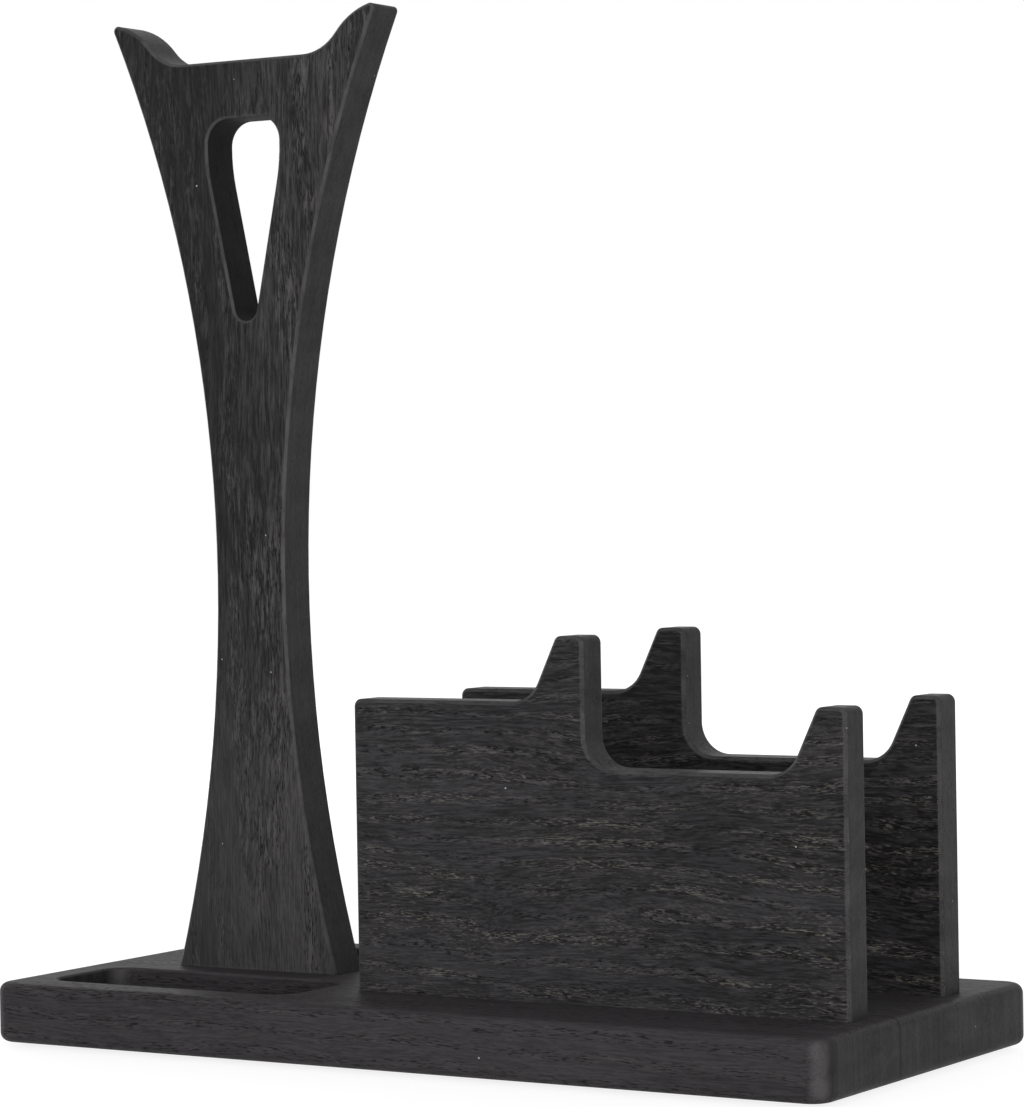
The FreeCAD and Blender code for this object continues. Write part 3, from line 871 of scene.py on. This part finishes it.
@dataclass
class ControllerRails(Finished):
    """The two stepped rails; their lengths are millimetres.

    The ramps thin the flecks towards the top and paint shade: paler low down and darker towards the
    top, darker to the right on the front rail, and darker on the rear rail's inner face.
    """

    front_pith: Triple = (-900.0, 80.0, -50.0)
    front_spacing: float = 4.5
    rear_pith: Triple = (700.0, -90.0, -60.0)
    rear_spacing: float = 4.8
    sway: float = 7.0
    flecks: Ramp = Ramp("Z", 35.0, 125.0, 1.0, 0.4)
    # Painted shade: towards the top, to the right of the front rail, and on the rear rail's face in the
    # gap.
    shade_towards_top: Ramp = Ramp("Z", 40.0, 110.0, 0.08, -0.14)
    shade_to_right: Ramp = Ramp("X", -20.0, 140.0, 0.03, -0.1)
    inner_face_shade: Ramp = Ramp("Y", 28.0, 34.0, -0.22, 0.0)

    def dress(self, effects: Effects) -> None:
        """Finish each rail with figure of its own.

        Args:
            effects: The shared effect groups.
        """
        front = StainedOak(
            "front_rail_oak", Grain.ALONG_X, self.front_pith, self.front_spacing, self.sway,
            shortness=2.2, dark=(0.0074, 0.0070, 0.0077), light=(0.0425, 0.0402, 0.0437),
            end_dark=(0.0078, 0.0074, 0.0076), end_light=(0.0385, 0.0363, 0.0373),
            fleck_ramp=self.flecks, tone_ramps=(self.shade_towards_top, self.shade_to_right),
        )
        rear = replace(front, name="rear_rail_oak", pith=self.rear_pith, ring_spacing=self.rear_spacing,
                       tone_ramps=(self.shade_towards_top, self.inner_face_shade))
        self.put_on(front.material(effects), "front_controller_rail")
        self.put_on(rear.material(effects), "rear_controller_rail")


@dataclass
class Fixings(Finished):
    """The screws and the pads under the base."""

    def dress(self, effects: Effects) -> None:
        """Finish the screws and the pads.

        Args:
            effects: The shared effect groups.
        """
        self.put_on(PlatedSteel().material(effects), "assembly_screws")
        pads = [f"foot_pad_{row}_{side}" for row in ("front", "rear") for side in ("left", "right")]
        self.put_on(PressedFelt().material(effects), *pads)


@dataclass(frozen=True)
class SoftBox:
    """One square lamp, in metres and watts; without glare it shows in no reflection."""

    name: str
    place: Triple
    size: float
    power: float
    glare: bool = True


@dataclass
class Studio:
    """The floor, the lights and the camera, in metres and degrees.

    The floor shows white to the camera by a share of its own glow, which grows with the distance
    from the object so that the object's shadow stays and the floor's far edge doesn't show.
    """

    floor_half: float = 6.0
    floor_grey: float = 0.85
    floor_glow: float = 1.4
    glow_distances: Span = (0.5, 1.2)
    glow_shares: Span = (0.6, 0.72)
    soft_light: float = 0.28
    white_light: float = 1.0
    lamps: tuple[SoftBox, ...] = (
        SoftBox("key_box", (1.3, -1.4, 0.45), 0.9, 18.0),
        SoftBox("fill_box", (-0.9, -1.8, 0.3), 1.4, 13.0),
        SoftBox("top_box", (0.1, 0.3, 1.9), 1.4, 1.6),
        SoftBox("left_box", (-1.6, 0.9, 0.4), 1.0, 20.0, False),
        SoftBox("back_box", (0.1, 1.9, 0.4), 1.4, 18.0, False),
    )
    sensor_width: float = 36.0
    focal_length: float = 126.83
    azimuth: float = 31.889
    elevation: float = 1.005
    roll: float = -0.963
    distance: float = 1.222393
    aim: Triple = (0.007407, -0.001577, 0.154169)

    def build(self) -> None:
        """Set up the whole studio."""
        scene = bpy.context.scene
        scene.view_settings.view_transform = "Standard"
        self.lay_floor(scene)
        self.light_world(scene)
        self.hang_lamps(scene)
        self.set_camera(scene)

    def lay_floor(self, scene: bpy.types.Scene) -> None:
        """Lay the floor.

        Args:
            scene: The scene that gets it.
        """
        shape = bmesh.new()
        bmesh.ops.create_grid(shape, x_segments=1, y_segments=1, size=self.floor_half)
        mesh = bpy.data.meshes.new("studio_floor")
        shape.to_mesh(mesh)
        shape.free()
        floor = bpy.data.objects.new("studio_floor", mesh)
        scene.collection.objects.link(floor)
        mesh.materials.append(self.floor_paint())

    def floor_paint(self) -> bpy.types.Material:
        """Make the floor's paint.

        Returns:
            The finished material.
        """
        paint, net = new_material("studio_floor_paint")
        grey = (self.floor_grey,) * 3
        matt = net.add("BsdfDiffuse", {"Color": (*grey, 1.0)}).outputs["BSDF"]
        glow = net.add("Emission", {"Color": WHITE, "Strength": self.floor_glow}).outputs["Emission"]
        away = net.vectors("LENGTH", net.add("TexCoord").outputs["Object"]).outputs["Value"]
        share = net.between(away, *self.glow_distances, *self.glow_shares)
        seen = net.maths("MULTIPLY", self.seen_directly(net), share)
        mixed = net.add("MixShader", {0: seen, 1: matt, 2: glow}).outputs["Shader"]
        net.add("OutputMaterial", {"Surface": mixed})
        return paint

    def seen_directly(self, net: NodeNet) -> Socket:
        """Tell the rays that show a surface as background from the rays that light the object.

        Args:
            net: The nodes of the floor's or the world's material.

        Returns:
            1 for rays from the camera, in a reflection or through glass, and 0 for the rest.
        """
        rays = net.add("LightPath").outputs
        seen = net.maths("MAXIMUM", rays["Is Camera Ray"], rays["Is Glossy Ray"])
        return net.maths("MAXIMUM", seen, rays["Is Transmission Ray"])

    def light_world(self, scene: bpy.types.Scene) -> None:
        """Give the world a soft light and a white background.

        Args:
            scene: The scene that gets it.
        """
        world = bpy.data.worlds.new("studio")
        world.use_nodes = True
        net = NodeNet(world.node_tree)
        soft, white = (
            net.add("Background", {"Color": WHITE, "Strength": strength}).outputs["Background"]
            for strength in (self.soft_light, self.white_light)
        )
        mixed = net.add("MixShader", {0: self.seen_directly(net), 1: soft, 2: white}).outputs["Shader"]
        net.add("OutputWorld", {"Surface": mixed})
        scene.world = world

    def hang_lamps(self, scene: bpy.types.Scene) -> None:
        """Hang the lamps round the object; the two behind it leave no glare on the board's top.

        Args:
            scene: The scene that gets them.
        """
        for box in self.lamps:
            lamp = bpy.data.lights.new(box.name, "AREA")
            lamp.size = box.size
            lamp.energy = box.power
            holder = bpy.data.objects.new(box.name, lamp)
            holder.visible_glossy = box.glare
            away = Vector(box.place) - Vector(self.aim)
            turn = away.to_track_quat("Z", "Y").to_matrix().to_4x4()
            holder.matrix_world = Matrix.Translation(box.place) @ turn
            scene.collection.objects.link(holder)

    def set_camera(self, scene: bpy.types.Scene) -> None:
        """Set the camera at the photograph's viewpoint.

        Args:
            scene: The scene that gets it.
        """
        turn, rise, roll = map(math.radians, (self.azimuth, self.elevation, self.roll))
        across = math.cos(rise)
        back = Vector((math.sin(turn) * across, -math.cos(turn) * across, math.sin(rise)))
        right = Vector((math.cos(turn), math.sin(turn), 0.0))
        up = back.cross(right)
        side = right * math.cos(roll) + up * math.sin(roll)
        top = up * math.cos(roll) - right * math.sin(roll)
        lens = bpy.data.cameras.new("photo_camera")
        lens.sensor_width = self.sensor_width
        lens.lens = self.focal_length
        camera = bpy.data.objects.new("photo_camera", lens)
        level = Vector((0.0, 0.0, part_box("base_board")[0].z))
        eye = Vector(self.aim) + level + back * self.distance
        axes = Matrix((side, top, back)).transposed().to_4x4()
        camera.matrix_world = Matrix.Translation(eye) @ axes
        scene.collection.objects.link(camera)
        scene.camera = camera


def main() -> None:
    """Dress the stand and set up the studio."""
    logging.basicConfig(level=logging.INFO, format="%(name)s: %(message)s")
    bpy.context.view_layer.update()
    effects = Effects(OakGrain(), EndGrain(), Specks(), EasedEdges())
    for assembly in (BaseBoard(), HeadsetPost(), ControllerRails(), Fixings()):
        assembly.dress(effects)
    Studio().build()


if __name__ == "__main__":
    main()
